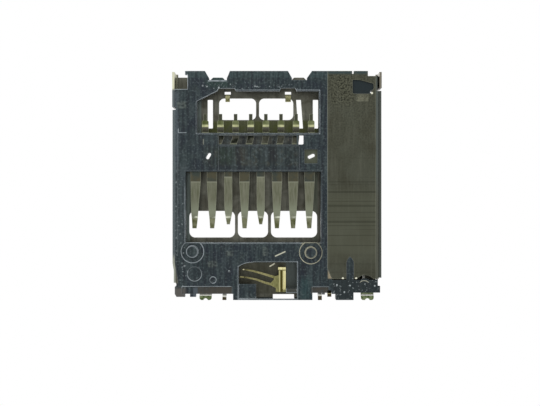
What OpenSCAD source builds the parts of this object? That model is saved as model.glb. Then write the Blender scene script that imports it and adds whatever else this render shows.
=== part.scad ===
// Push-push connector for a small memory card with eight pads.
// x runs across the card, +y is the way the card goes in, z rises from the board.
// The origin is the middle of the footprint on the board plane.

/* [Footprint] */
// Height of the cover's top above the board
body_h = 1.85; // [1.8:0.01:2.1]

/* [Sheet metal] */
// Thickness of the cover
shell_t = 0.15; // [0.12:0.01:0.18]
// Inside radius of the cover's bends
shell_bend_r = 0.12; // [0.08:0.01:0.2]
// Thickness of the metal floor under the slider
plate_t = 0.15; // [0.12:0.01:0.18]
// Height of the metal floor's upturned edge
flange_h = 1.1; // [0.6:0.05:1.3]
// Thickness of the card contacts
contact_t = 0.12; // [0.1:0.01:0.14]
// Thickness of the switch springs
switch_t = 0.12; // [0.1:0.01:0.14]
// Thickness of the rear solder feet
foot_t = 0.15; // [0.12:0.01:0.2]

/* [Card] */
// Width of the card behind its shoulder
card_w = 11; // [10.9:0.05:11.1]
// Width of the card's leading part
card_nose_w = 9.7; // [9.6:0.05:9.8]
// Thickness of the card
card_t = 0.7; // [0.6:0.05:0.8]
// Free height between the card and the cover
card_gap = 0.05; // [0.03:0.01:0.1]
// Distance from the card's left edge to its first pad
pad_inset = 1.0; // [0.95:0.05:1.05]
// Distance from the card's leading edge back to its shoulder
card_shoulder = 6.4; // [6.2:0.1:6.6]

/* [Contacts] */
// Number of contacts
contact_n = 8; // [6:1:8]
// Distance between contacts
pitch = 1.1; // [1.05:0.01:1.12]
// Distance between solder tails
tail_pitch = 1.02; // [0.98:0.01:1.05]
// Width of a contact beam at its root
beam_w = 0.68; // [0.56:0.02:0.72]
// Width of the two plain beams
plain_w = 0.54; // [0.4:0.02:0.6]
// Width of a contact beam at its tip
tip_w = 0.28; // [0.24:0.02:0.36]
// Width of a plain beam at its tip
plain_tip_w = 0.2; // [0.16:0.02:0.3]
// Reach of a contact beam behind the mid bar
beam_l = 3.84; // [3.6:0.02:4.1]
// How far the first beam's tip leans to the left
first_lean = 0.1; // [0:0.02:0.14]
// How much shorter the two plain beams are
plain_short = 0.27; // [0.1:0.01:0.5]
// Height of a free beam's crest above the card face
preload = 0.12; // [0.05:0.01:0.2]
// Width of a solder tail
tail_w = 0.44; // [0.3:0.02:0.46]
// Width of a solder tail's outer end
tail_end_w = 0.24; // [0.2:0.02:0.3]
// Length of a solder tail on the board
tail_l = 1.1; // [0.8:0.05:1.3]

/* [Housing] */
// Thickness of the moulded floor
floor_t = 0.45; // [0.4:0.01:0.5]
// Thickness of the left side wall
wall_t = 0.34; // [0.3:0.01:0.4]
// Length of the front floor, from the entrance to the tail window
front_l = 1.35; // [1.2:0.05:1.5]
// Length of the tail window
tail_window_l = 2.83; // [2.6:0.01:3]
// Length of the mid bar that holds the contacts
bar_l = 2.6; // [2.5:0.05:2.7]
// Height of the mid bar
bar_h = 0.72; // [0.66:0.01:0.76]
// Length of the contact window
contact_window_l = 4.78; // [4.7:0.02:4.9]
// Length of the rear floor, from the contact window to the rear lip
rear_l = 3.88; // [3.8:0.02:4.4]
// Length of the switch window
switch_window_l = 2.45; // [2.4:0.01:2.5]
// Width of the switch window
switch_window_w = 3.94; // [3.8:0.02:4.1]
// Width of the rail between the contact window and the slider bay
rail_w = 0.43; // [0.35:0.01:0.5]
// Radius of the locating pegs
peg_r = 0.4; // [0.35:0.01:0.45]
// Length of the locating pegs below the board plane
peg_l = 0.42; // [0.3:0.02:0.5]
// Bevel along the windows' lower edges
window_bevel = 0.07; // [0.03:0.01:0.1]

/* [Slider] */
// Travel from the ejected card to the far end, past the lock
travel = 3.6; // [3.2:0.1:3.8]
// Overtravel past the locked position
overtravel = 0.6; // [0.4:0.1:0.8]
// Length of the slider
slider_l = 6.45; // [6.2:0.05:6.6]
// Height of the slider's low side with the cam groove
slider_low_h = 1.0; // [0.9:0.02:1.05]
// Distance between the two lanes of the cam groove
lane_pitch = 0.53; // [0.45:0.01:0.6]
// Diameter of the cam pin's wire
pin_d = 0.26; // [0.2:0.02:0.3]
// Running clearance of sliding pieces
slide_gap = 0.05; // [0.03:0.01:0.08]
// Radial clearance of the cam pin in its hole
pin_gap = 0.03; // [0.02:0.01:0.05]
// Outer diameter of the coil spring
spring_d = 0.92; // [0.8:0.02:0.96]
// Diameter of the spring wire
spring_wire_d = 0.13; // [0.1:0.01:0.15]
// Number of turns
spring_turns = 19; // [15:1:24]
// Radius of the post in the spring
post_r = 0.235; // [0.2:0.005:0.25]
// Thickness of the card-lock leaf
leaf_t = 0.1; // [0.08:0.01:0.12]

/* [Hidden] */

// Fits and small radii
seat_gap = 0.02;
corner_r = 0.35;
eps = 0.01;

// Widths that add up across the body, each from the cover's left face
lane_w = pin_d + 2 * slide_gap;
card_off = shell_t + seat_gap + wall_t + slide_gap;
slider_off = card_off + card_w + slide_gap + 0.28;
spring_off = slider_off + 0.1;
pivot_off = spring_off + spring_d / 2 + 0.31 + lane_w / 2;
flange_off = pivot_off + lane_pitch + lane_w / 2 + 0.1 + slide_gap;
body_w = flange_off + plate_t + seat_gap + shell_t;
body_l = front_l + tail_window_l + bar_l + contact_window_l + rear_l;

// Limits of the body
left_x = -body_w / 2;
right_x = body_w / 2;
front_y = -body_l / 2;
rear_y = body_l / 2;
roof_z = body_h - shell_t;
wall_top = roof_z - seat_gap;

// Housing across the card
wall_x = left_x + shell_t + seat_gap;
wall_in = wall_x + wall_t;
card_x = left_x + card_off;
window_x = card_x + 0.34;
nose_x = card_x + card_nose_w;
bay_x = nose_x + 0.2;
rail_x = bay_x - rail_w;
card_z = roof_z - card_gap - card_t;

// Housing along the card
tail_window_y = front_y + front_l;
bar_y = tail_window_y + tail_window_l;
contact_window_y = bar_y + bar_l;
rear_floor_y = contact_window_y + contact_window_l;
step_y = rear_y - 0.91;
ledge_y = rear_y - 0.41;
lip_t = 0.1;
switch_y = rear_y - lip_t - switch_window_l;
card_stop_y = step_y;
entry_y = front_y + 0.34;
latch_l = 1.2;
latch_ys = [front_y + 3.4, rear_y - 3.8];
peg_left = [left_x + 1.36, rear_floor_y + 0.61];
peg_right = [rail_x - 0.69, rear_floor_y + 0.68];

// Cover's walls along the card: front solder legs, slits behind them, side finger, rear ends
leg_left_y = front_y + 2.43;
leg_right_y = front_y + 1.15;
leg_slit = 0.17;
finger_y = rear_y - 2.85;
finger_top = 1.2;
finger_in = wall_in - 0.11;
left_end_y = rear_y - 1.08;
right_end_y = rear_y - 1.49;

// Slider bay
flange_x = left_x + flange_off;
plate_bend_r = 0.13;
stop_y = front_y + 1.52;
block_y = rear_y - 1.35;
plate_y = block_y - 0.07;
slider_x1 = flange_x - slide_gap;
slider_z = plate_t + slide_gap;
slider_y = stop_y + seat_gap;
slider_top = roof_z - 2 * slide_gap;
low_top = slider_z + slider_low_h;
locked_edge = card_stop_y - overtravel - 0.05;
arm_y = locked_edge - card_shoulder - (travel - overtravel) + seat_gap;
arm_x = bay_x + 0.05 + seat_gap;
// left side of the tab at the rear of the bay
tab_x = bay_x + 0.58;
guide_x = card_x + card_w + slide_gap;
body_x = left_x + slider_off;
slider_y1 = slider_y + slider_l;

// Coil spring and post
spring_x = left_x + spring_off;
spring_z = slider_z + 0.12 + spring_d / 2;
spring_y0 = arm_y + 0.3;
post_y = block_y - 1.52;
rib_r = 0.24;
rib_tip_r = 0.62;
rib_y = block_y - 1.08;
rib_top = 0.26;

// Cam pin, its groove and its pivot
pivot_x = left_x + pivot_off;
pivot_y = block_y + 0.4;
pin_z = low_top + slide_gap + pin_d / 2;
pin_foot_z = 0.5;
pin_rest_y = slider_y1 - 0.7;
lane_far_x = pivot_x + lane_pitch;
groove_d = 0.3;
boss_r = 0.5;
plate_arc_r = 0.74;
boss_x = pivot_x + 0.06;

// Card-lock leaf
leaf_x = guide_x + 0.14;
leaf_z = card_z + 0.02;
leaf_seat = 0.22;
notch_y = locked_edge - (travel - overtravel) - 8.45;

// Tongue of the cover over the cam pin
tongue_w = 0.6;
tongue_l = 3.2;
tongue_x = pivot_x + 0.08;
tongue_y0 = pin_rest_y + 1.0;
tongue_z = pin_z + pin_d / 2 + seat_gap + shell_t / 2;

// Rear solder feet
foot_y = ledge_y - 0.45;
foot_z = 0.3;

// Switch springs, their webs in the moulding and their tails
switch_x0 = contact_x(3) - 0.39;
switch_x1 = switch_x0 + switch_window_w;
switch_arc_r = 1.93;
lever_x1 = switch_x1 - 1.08;
blade_x = lever_x1 + 0.12;
blade_w = 0.21;
lever_z = 0.4;
lever_tip_z = 0.95;
lever_tail_x = rail_x - 0.08;
fixed_tail_x = left_x + 3.52;
ground_tail_x = bay_x + 0.13;
fixed_z = 0.38;
ground_z = 0.64;
web_y = step_y + 0.26;
web_w = 0.12;
switch_tail_w = 0.27;

// Contacts
tail_x0 = card_x + pad_inset + 0.67;
web_z = 0.34;
web_mid_y = bar_y + 1.55;
crest_z = card_z + preload - contact_t / 2;

// Stubs and domes of the cover near the entrance
stub_xs = [tail_x(1) + 0.43, tail_x(5) + 0.5];
stub_ws = [0.3, 0.38];
dome_xs = [left_x + 3.0, left_x + 8.58];
dome_r = 0.57;
// Slot of the cover's rear edge over the switch
tab_slot_x = [left_x + 6.79, left_x + 8.24];

function contact_x(i) = card_x + pad_inset + i * pitch;
function tail_x(i) = tail_x0 + i * tail_pitch;
// Place, length, width and turn of the slanted pilot holes in the mid bar
pilots = [
    [contact_x(1) - 0.22, web_mid_y, 0.46, 0.24, 60],
    [contact_x(contact_n - 1) + 0.13, web_mid_y, 0.5, 0.22, 25]];
// The third and fifth beams from the left are plain and shorter
function is_plain(i) = i == 2 || i == 4;

// Points of a round bend about c, from angle a0 to a1
function bend(c, r, a0, a1, n = 6) =
    [for (k = [0:n]) c + r * [cos(a0 + (a1 - a0) * k / n), sin(a0 + (a1 - a0) * k / n)]];
// Unit normal of a path at point k, mitred between its two neighbours
function unit(v) = v / norm(v);
function side(v) = [-v[1], v[0]];
function mitre(path, k) =
    let (n = len(path) - 1,
         a = side(unit(path[max(k, 1)] - path[max(k, 1) - 1])),
         b = side(unit(path[min(k, n - 1) + 1] - path[min(k, n - 1)])),
         m = unit(a + b))
    m / (m * a);
// Outline of a strip of sheet that follows a path
function strip(path, t) = concat(
    [for (k = [0:len(path) - 1]) path[k] + mitre(path, k) * t / 2],
    [for (k = [len(path) - 1:-1:0]) path[k] - mitre(path, k) * t / 2]);

module block(x0, x1, y0, y1, z0, z1)
    translate([x0, y0, z0]) cube([x1 - x0, y1 - y0, z1 - z0]);

// Rectangle with round corners, true arcs
module rounded(x0, x1, y0, y1, r = corner_r) {
    translate([x0 + r, y0]) square([x1 - x0 - 2 * r, y1 - y0]);
    translate([x0, y0 + r]) square([x1 - x0, y1 - y0 - 2 * r]);
    for (x = [x0 + r, x1 - r], y = [y0 + r, y1 - r])
        translate([x, y]) circle(r, $fn = 32);
}

// Cut through the floor with a bevel along its lower edge
module floor_window(x0, x1, y0, y1, top, bevel = window_bevel) {
    block(x0, x1, y0, y1, -eps, top);
    intersection() {
        translate([0, y0 - 1, 0]) rotate([90, 0, 180]) linear_extrude(y1 - y0 + 2)
            polygon([[-x0 + bevel + eps, -eps], [-x0 - eps, bevel], [-x1 + eps, bevel], [-x1 - bevel - eps, -eps]]);
        translate([x0 - 1, 0, 0]) rotate([90, 0, 90]) linear_extrude(x1 - x0 + 2)
            polygon([[y0 - bevel - eps, -eps], [y0 + eps, bevel], [y1 - eps, bevel], [y1 + bevel + eps, -eps]]);
    }
}

// Sheet strip: its path lies in the y-z plane and it spans x0 to x1
module sheet_yz(path, t, x0, x1)
    translate([x0, 0, 0]) rotate([90, 0, 90]) linear_extrude(x1 - x0) polygon(strip(path, t));

// Sheet strip: its path lies in the x-z plane and it spans y0 to y1
module sheet_xz(path, t, y0, y1)
    translate([0, y1, 0]) rotate([90, 0, 0]) linear_extrude(y1 - y0) polygon(strip(path, t));

// Plan of one contact, from its solder tail to the tip of its beam
module contact_plan(i, grow = 0) {
    w = (is_plain(i) ? plain_w : beam_w) / 2 + grow;
    tip = (is_plain(i) ? plain_tip_w : tip_w) / 2 + grow;
    tail = tail_w / 2 + grow;
    tail_end = tail_end_w / 2 + grow;
    tip_x = contact_x(i) - (i == 0 ? first_lean : 0);
    end_y = contact_window_y + beam_l - (is_plain(i) ? plain_short : 0);
    // the beam narrows gently to its waist, and faster from there to the tip
    taper_y = is_plain(i) ? end_y - 1.2 : contact_window_y + 0.7;
    waist = is_plain(i) ? w - 0.03 : (beam_w + tip_w) / 4 + grow;
    waist_y = end_y - (is_plain(i) ? 0.75 : 1.1);
    x = contact_x(i);
    tx = tail_x(i);
    ty = bar_y - 0.18;
    // the web crosses from the tail's place to the beam's, and the last one widens round its pilot hole
    pad = i == contact_n - 1;
    wx = pad ? pilots[1][0] : tx + (x - tx) * 0.6;
    web = pad ? 0.5 + grow : tail;
    web_half_l = pad ? 0.55 : 0.35;
    function edge(side) = [
        [tx + side * tail_end, ty - tail_l], [tx + side * tail_end, ty - tail_l * 0.62],
        [tx + side * tail, ty - tail_l * 0.54], [tx + side * tail, bar_y + 0.3],
        [wx + side * web, web_mid_y - web_half_l], [wx + side * web, web_mid_y + web_half_l],
        [x + side * w, contact_window_y - 0.25], [x + side * w, taper_y],
        [tip_x + side * waist, waist_y], [tip_x + side * tip, end_y]];
    right = edge(1);
    polygon(concat(edge(-1), [for (k = [len(right) - 1:-1:0]) right[k]]));
}

// Side view of one contact: tail on the board, web in the bar, rising beam, rounded crest
function contact_path(i) =
    let (end_y = contact_window_y + beam_l - (is_plain(i) ? plain_short : 0),
         crest_y = end_y - 0.66,
         root_y = contact_window_y + 0.7,
         rise = atan2(crest_z - web_z, crest_y - root_y),
         fall = 28,
         r = 0.35)
    concat(
        [[bar_y - 1.5, contact_t / 2], [bar_y - 0.42, contact_t / 2], [bar_y - 0.1, web_z], [root_y, web_z]],
        bend([crest_y, crest_z - r], r, 90 + rise, 90 - fall),
        [[end_y, crest_z - r + r * cos(fall) - (end_y - crest_y - r * sin(fall)) * tan(fall)]]);

module contact(i) {
    intersection() {
        sheet_yz(contact_path(i), contact_t, min(contact_x(i), tail_x(i)) - 1, contact_x(i) + 1);
        translate([0, 0, -1]) linear_extrude(body_h + 1) difference() {
            contact_plan(i);
            if (i == contact_n - 1) pilot_hole(pilots[1], 0.03);
        }
    }
}

// Outline of the moulding as seen from the board
module housing_plan()
    polygon([
        [left_x + 0.86, front_y], [left_x + 2.21, front_y], [left_x + 2.48, entry_y + 0.14],
        [left_x + 2.48, front_y + 0.61], [left_x + 3.69, front_y + 0.61], [left_x + 3.69, entry_y + 0.14],
        [left_x + 3.89, front_y], [left_x + 7.8, front_y], [left_x + 8.07, entry_y + 0.14],
        [left_x + 8.07, front_y + 0.61], [left_x + 9.08, front_y + 0.61], [left_x + 9.08, entry_y + 0.14],
        [left_x + 9.42, front_y], [right_x - 1.99, front_y], [right_x - 1.99, front_y + 0.19],
        [right_x - 1.88, front_y + 0.19], [right_x - 1.88, front_y], [right_x - 0.93, front_y],
        [right_x - 0.93, entry_y], [flange_x - seat_gap, entry_y], [flange_x - seat_gap, plate_y + seat_gap],
        [flange_x + 0.06, plate_y + seat_gap], [flange_x + 0.06, right_end_y + 0.55],
        [flange_x + plate_t + 0.06, right_end_y + 0.55], [flange_x + plate_t + 0.06, rear_y - 0.5],
        [right_x - 1.9, rear_y - 0.5], [right_x - 1.9, rear_y], [tab_x, rear_y],
        [tab_x, ledge_y], [bay_x + 0.3, ledge_y], [bay_x + 0.3, rear_y - 0.48],
        [rail_x + 0.26, rear_y - 0.48], [rail_x + 0.26, rear_y - 0.37], [rail_x + 0.08, rear_y - 0.37],
        [rail_x + 0.08, rear_y - 0.48], [rail_x - 0.58, rear_y - 0.48], [rail_x - 0.58, rear_y], [left_x + 4.1, rear_y],
        [left_x + 4.1, ledge_y], [left_x + 1.6, ledge_y], [left_x + 1.6, rear_y - 0.21],
        [left_x + 1.2, rear_y - 0.21], [left_x + 1.2, ledge_y], [left_x + 0.86, ledge_y],
        [left_x + 0.86, rear_y - 0.21], [wall_x + 0.12, rear_y - 0.21], [wall_x, rear_y - 0.4],
        [wall_x, front_y + 1.22], [left_x + 1.03, front_y + 1.22], [left_x + 1.03, front_y + 0.24],
        [left_x + 0.86, front_y + 0.24]]);

// Floor strip, walls and blocks that rise from the floor
module housing_walls() {
    // left side wall and the card's ledge along it
    translate([0, rear_y - 0.4, 0]) rotate([90, 0, 0]) linear_extrude(body_l - 1.62)
        polygon([[wall_x, 0], [wall_in, 0], [wall_in, wall_top], [wall_x + shell_bend_r, wall_top],
                 [wall_x, wall_top - shell_bend_r]]);
    block(wall_in - eps, window_x - seat_gap, tail_window_y, card_stop_y, 0, card_z - slide_gap);
    // latch noses that snap into the cover's side windows
    for (y = latch_ys)
        translate([wall_x, y - latch_l / 2, roof_z - 0.75]) rotate([0, 0, 90]) rotate([90, 0, 90])
            linear_extrude(latch_l) polygon([[-eps, 0], [0.12, 0], [0.03, 0.35], [-eps, 0.35]]);
    // mid bar with the card rails either side
    block(window_x - 0.1, rail_x + 0.1, bar_y, contact_window_y, 0, bar_h);
    // rail beside the slider bay, high only where the card's nose runs
    block(rail_x, nose_x - seat_gap, tail_window_y, card_stop_y, 0, card_z - slide_gap);
    block(nose_x + slide_gap, bay_x, arm_y + travel + 0.4, card_stop_y + 0.2, 0, wall_top);
    block(rail_x, bay_x, tail_window_y, card_stop_y + 0.2, 0, card_z - slide_gap - 0.1);
    // lip over the metal floor's inner edge
    block(bay_x - eps, bay_x + 0.05, tail_window_y, block_y, plate_t, floor_t);
    // stop wall for the card, left and right of the switch
    block(wall_in - eps, switch_x0 - 0.1, card_stop_y, ledge_y, 0, wall_top);
    block(switch_x1 + 0.1, bay_x + 0.3, card_stop_y, rear_y - 0.48, 0, wall_top);
    // low lip behind the switch
    block(left_x + 4.1, rail_x - 0.58, rear_y - lip_t, rear_y, 0, body_h - 0.5);
}

// Plan of the rib that fills the metal floor's slot, with a pointed front end
module rib_plan(grow = 0) {
    r = rib_r + grow;
    translate([spring_x - r, rib_y]) square([2 * r, block_y - rib_y + eps]);
    intersection_for(side = [-1, 1])
        translate([spring_x + side * (rib_tip_r - rib_r), rib_y]) circle(rib_tip_r + grow, $fn = 64);
}

// Front stop and rear block of the slider bay, standing on the metal floor
module bay_blocks() {
    difference() {
        block(guide_x + slide_gap, flange_x - plate_bend_r, entry_y, stop_y, plate_t, wall_top);
        // relief for the free end of the card-lock leaf
        block(guide_x, leaf_x + leaf_t / 2 + slide_gap, notch_y - 0.97, stop_y + eps, leaf_z - slide_gap, body_h);
    }
    block(bay_x - eps, guide_x + slide_gap + eps, entry_y, tail_window_y, plate_t, floor_t);
    difference() {
        union() {
            block(bay_x - eps, pivot_x - 0.5, block_y, rear_y - 0.54, 0, wall_top);
            block(pivot_x - 0.5 - eps, flange_x - seat_gap, block_y, rear_y - 0.54, 0, low_top);
            block(tab_x, right_x - 1.9, block_y, rear_y, 0, wall_top - 0.4);
        }
        translate([pivot_x, pivot_y, pin_foot_z - slide_gap])
            cylinder(r = pin_d / 2 + pin_gap, h = body_h, $fn = 32);
    }
    // rib that fills the metal floor's slot, boss under the pin's pivot, and the floor's rear corner
    linear_extrude(rib_top) rib_plan();
    intersection() {
        translate([boss_x, pivot_y, 0]) cylinder(r = boss_r, h = rib_top, $fn = 48);
        block(bay_x, flange_x - seat_gap, post_y, block_y + eps, 0, 1);
    }
    linear_extrude(floor_t) polygon([[bay_x - eps, plate_y - 0.72], [bay_x + 0.3, plate_y], [bay_x + 0.3, block_y + eps],
                                     [bay_x - eps, block_y + eps]]);
    // post that carries the coil spring
    translate([spring_x, block_y + eps, spring_z]) rotate([90, 0, 0]) {
        cylinder(r = post_r, h = block_y - post_y - post_r + eps, $fn = 32);
        translate([0, 0, block_y - post_y - post_r + eps]) sphere(post_r, $fn = 32);
    }
}

// Slanted pilot hole through the mid bar
module pilot_hole(pilot, grow = 0) {
    length = pilot[2] - pilot[3];
    translate([pilot[0], pilot[1]]) rotate(-pilot[4]) {
        square([length, pilot[3] + 2 * grow], center = true);
        for (side = [-1, 1]) translate([side * length / 2, 0]) circle(pilot[3] / 2 + grow, $fn = 32);
    }
}

// Marks that the mould leaves on the board side, and the shallow recesses
module housing_marks() {
    // round recesses at the roots of the pegs
    for (p = [peg_left, peg_right]) translate([p[0], p[1], -eps]) cylinder(r = 0.76, h = 0.04 + eps, $fn = 48);
    // ejector and gate marks
    translate([left_x + 1.5, rear_floor_y + 2.12, -eps]) difference() {
        cylinder(r = 0.48, h = 0.04 + eps, $fn = 48);
        translate([0, 0, -eps]) cylinder(r = 0.4, h = 0.1, $fn = 48);
    }
    translate([left_x + 2.75, rear_floor_y + 2.53, -eps]) cylinder(r = 0.22, h = 0.05 + eps, $fn = 32);
    // two shallow pads for mould marks
    block(left_x + 2.4, left_x + 3.02, rear_floor_y + 1.28, rear_floor_y + 1.7, -eps, 0.03);
    block(left_x + 3.6, left_x + 4.1, rear_floor_y + 0.2, rear_floor_y + 0.92, -eps, 0.03);
    // small dimples along the front lip and beside the pegs
    for (x = [left_x + 2.04, left_x + 2.34, left_x + 3.14, left_x + 4.1, left_x + 5.58, left_x + 7.14])
        translate([x, tail_window_y - 0.36, -eps]) cylinder(r = 0.06, h = 0.05 + eps, $fn = 16);
    for (p = [[left_x + 0.82, rear_floor_y + 1.6], [left_x + 3.84, rear_floor_y + 1.97]])
        translate([p[0], p[1], -eps]) cylinder(r = 0.06, h = 0.05 + eps, $fn = 16);
    // outer strip along the left edge, a step lower
    block(left_x, left_x + 0.36, bar_y + 0.07, finger_y - 0.2, -eps, 0.04);
    // ring round the cam pin's pivot
    translate([pivot_x, pivot_y, -eps]) difference() {
        cylinder(r = 0.36, h = 0.04 + eps, $fn = 48);
        translate([0, 0, -eps]) cylinder(r = 0.29, h = 0.1, $fn = 48);
    }
    // reliefs of the front lip for the cover's stubs
    for (k = [[stub_xs[0] - 0.66, stub_xs[0] + 0.62, 0.17], [stub_xs[1] - 0.6, stub_xs[1] + 0.56, 0.19]])
        translate([0, 0, -eps]) linear_extrude(body_h) polygon([
            [k[0], tail_window_y + eps], [k[0] + 0.1, tail_window_y - k[2]],
            [k[1] - 0.1, tail_window_y - k[2]], [k[1], tail_window_y + eps]]);
    // band of the mid bar that lays the contacts' webs open, and the slot beside it
    block(tail_x(1) - 0.12, tail_x(6) + 0.05, bar_y + 0.18, bar_y + 0.78, -eps, web_z);
    block(tail_x(6) + 0.15, tail_x(6) + 0.51, bar_y + 0.14, bar_y + 0.78, -eps, bar_h + eps);
    block(tail_x(1) - 0.12, contact_x(7) - 0.7, bar_y + 0.88, contact_window_y - 0.1, -eps, 0.07);
    // see-through pilot holes, the right one in a square recess down to the contact's pad
    for (pilot = pilots) translate([0, 0, -1]) linear_extrude(body_h) pilot_hole(pilot);
    block(contact_x(7) - 0.35, contact_x(7) + 0.54, bar_y + 1.1, bar_y + 2.05, -eps, web_z);
    // stepped strip along the rear left edge
    block(left_x + 0.66, left_x + 4.03, step_y, ledge_y + eps, -eps, 0.08);
    block(rail_x - 0.58, rail_x + 0.53, step_y + 0.02, rear_y - 0.48 + eps, -eps, 0.08);
    // opening of the low lip under the cover's rear slot
    block(tab_slot_x[0], tab_slot_x[1], switch_y, rear_y + 1, floor_t, body_h);
    block(tab_slot_x[0], tab_slot_x[1], switch_y, rear_y - 0.06, -1, body_h);
}

// Seats for the sheet-metal pieces that the moulding holds
module housing_seats() {
    for (i = [0:contact_n - 1])
        intersection() {
            block(left_x, right_x, bar_y - eps, contact_window_y + eps,
                  web_z - contact_t / 2 - seat_gap / 2, web_z + contact_t / 2 + seat_gap / 2);
            translate([0, 0, -1]) linear_extrude(body_h + 1) contact_plan(i, seat_gap / 2);
        }
    foot_seat(left_x + 1.84, left_x + 2.66);
    foot_seat(right_x - 1.4, right_x - 0.54);
    switch_seats();
}

module foot_seat(x0, x1)
    block(x0 - seat_gap, x1 + seat_gap, foot_y - seat_gap, rear_y + 1,
          foot_z - foot_t / 2 - seat_gap, foot_z + foot_t / 2 + seat_gap);

module housing()
    color("#2b3036") {
        difference() {
            union() {
                linear_extrude(floor_t) difference() {
                    housing_plan();
                    // the bay has the metal floor in place of plastic
                    translate([bay_x, entry_y]) square([flange_x - bay_x, block_y - entry_y]);
                }
                housing_walls();
                bay_blocks();
            }
            // the tail window has one sloped corner
            difference() {
                floor_window(window_x + 0.77, rail_x - 0.14, tail_window_y, bar_y, body_h);
                translate([window_x + 0.77, tail_window_y, -1]) linear_extrude(body_h + 2)
                    polygon([[-0.3, -0.3], [1.95, -0.3], [-0.3, 0.83]]);
            }
            floor_window(window_x, rail_x, contact_window_y, rear_floor_y, body_h);
            floor_window(switch_x0, switch_x1, switch_y, rear_y - lip_t, body_h, 0.05);
            // the metal floor's front edge lies under the entrance
            block(bay_x, right_x, front_y - 1, entry_y + eps, -1, plate_t);
            // notch behind the left solder leg, and the slope behind the cover's side finger
            block(left_x, wall_x + 0.07, leg_left_y, leg_left_y + leg_slit, -1, body_h);
            translate([0, 0, -1]) linear_extrude(finger_top + 1.1)
                polygon([[left_x, finger_y], [wall_x, finger_y], [finger_in, left_end_y],
                         [finger_in, left_end_y + 0.19], [left_x, left_end_y + 0.19]]);
            // small hole through the front stop
            translate([right_x - 0.62, stop_y - 0.12, -1]) cylinder(r = 0.14, h = body_h + 2, $fn = 32);
            housing_marks();
            housing_seats();
            // lead-in slope for the card along the front floor
            translate([left_x, front_y - eps, floor_t + eps]) rotate([30, 0, 0])
                translate([0, -0.6, -0.09]) cube([body_w, 1, 0.6]);
        }
        // arc that closes the corner of the switch window
        translate([switch_x0, switch_y, 0]) linear_extrude(floor_t) difference() {
            translate([-0.1, -0.1]) square([1.1, 0.38]);
            translate([1, switch_arc_r]) circle(switch_arc_r, $fn = 96);
        }
        // ledge that hides the webs beside the blade
        block(blade_x + blade_w + seat_gap, switch_x1 + eps, web_y - 0.1, web_y + web_w + 0.04, 0.1, lever_z - switch_t);
        // dark panel in the switch window, under the fixed contact
        block(switch_x0 - eps, switch_x0 + 1.18, web_y - 0.42, rear_y - lip_t + eps, 0.08, fixed_z - switch_t / 2);
        for (p = [peg_left, peg_right])
            translate([p[0], p[1], -peg_l]) {
                translate([0, 0, 0.06]) cylinder(r = peg_r, h = peg_l, $fn = 48);
                cylinder(r1 = peg_r - 0.06, r2 = peg_r, h = 0.06, $fn = 48);
            }
    }

// Cross-section of the cover: flat top and two folded side walls
module shell_section(bottom) {
    r = shell_bend_r;
    intersection() {
        difference() {
            rounded(left_x, right_x, -2, body_h, r + shell_t);
            rounded(left_x + shell_t, right_x - shell_t, -2 - shell_t, roof_z, r);
        }
        translate([left_x - 1, bottom]) square([body_w + 2, body_h]);
    }
}

module shell_sweep(y0, y1, bottom)
    translate([0, y1, 0]) rotate([90, 0, 0]) linear_extrude(y1 - y0) shell_section(bottom);

// Openings of the cover's top
module shell_windows() {
    up = bar_y - 2.47;
    low = contact_window_y + 2.67;
    rounded(tail_x(1) - 0.16, tail_x(3) + 0.34, up, up + 1.48);
    rounded(tail_x(4) - 0.47, tail_x(5) + 0.86, up, up + 1.48);
    for (x = [tail_x(0) + 0.07, tail_x(7) + 0.17]) rounded(x, x + 0.36, up + 0.09, up + 2.06, 0.05);
    // slanted slit between them
    translate([tail_x(6) + 0.04, up + 0.09]) polygon([[0, 0], [0.32, 0], [0.47, 1.97], [0.13, 1.97]]);
    // slot over the slot of the mid bar
    rounded(tail_x(6) + 0.13, tail_x(6) + 0.56, bar_y + 0.04, bar_y + 0.69, 0.12);
    for (x = [[contact_x(0) - 0.52, contact_x(2) + 0.42], [contact_x(3) - 0.48, contact_x(4) + 0.49],
              [contact_x(5) - 0.4, contact_x(7) + 0.57]])
        rounded(x[0], x[1], low, low + 1.82, 0.4);
    // holes behind the pilot holes of the mid bar
    for (pilot = pilots) translate([pilot[0], pilot[1]]) circle(0.4, $fn = 32);
    // small slots above the two stubs near the entrance
    for (x = stub_xs) translate([x - 0.21, up - 0.46]) square([0.42, 0.19]);
    // hole over the hole of the front stop
    translate([right_x - 0.56, stop_y - 0.19]) circle(0.14, $fn = 32);
    // slots round the tongue that presses on the cam pin
    for (s = [-1, 1]) translate([tongue_x + s * (tongue_w + 0.16) / 2 - 0.08, tongue_y0]) square([0.16, tongue_l]);
    translate([tongue_x - tongue_w / 2 - 0.16, tongue_y0]) square([tongue_w + 0.32, 0.3]);
}

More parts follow.
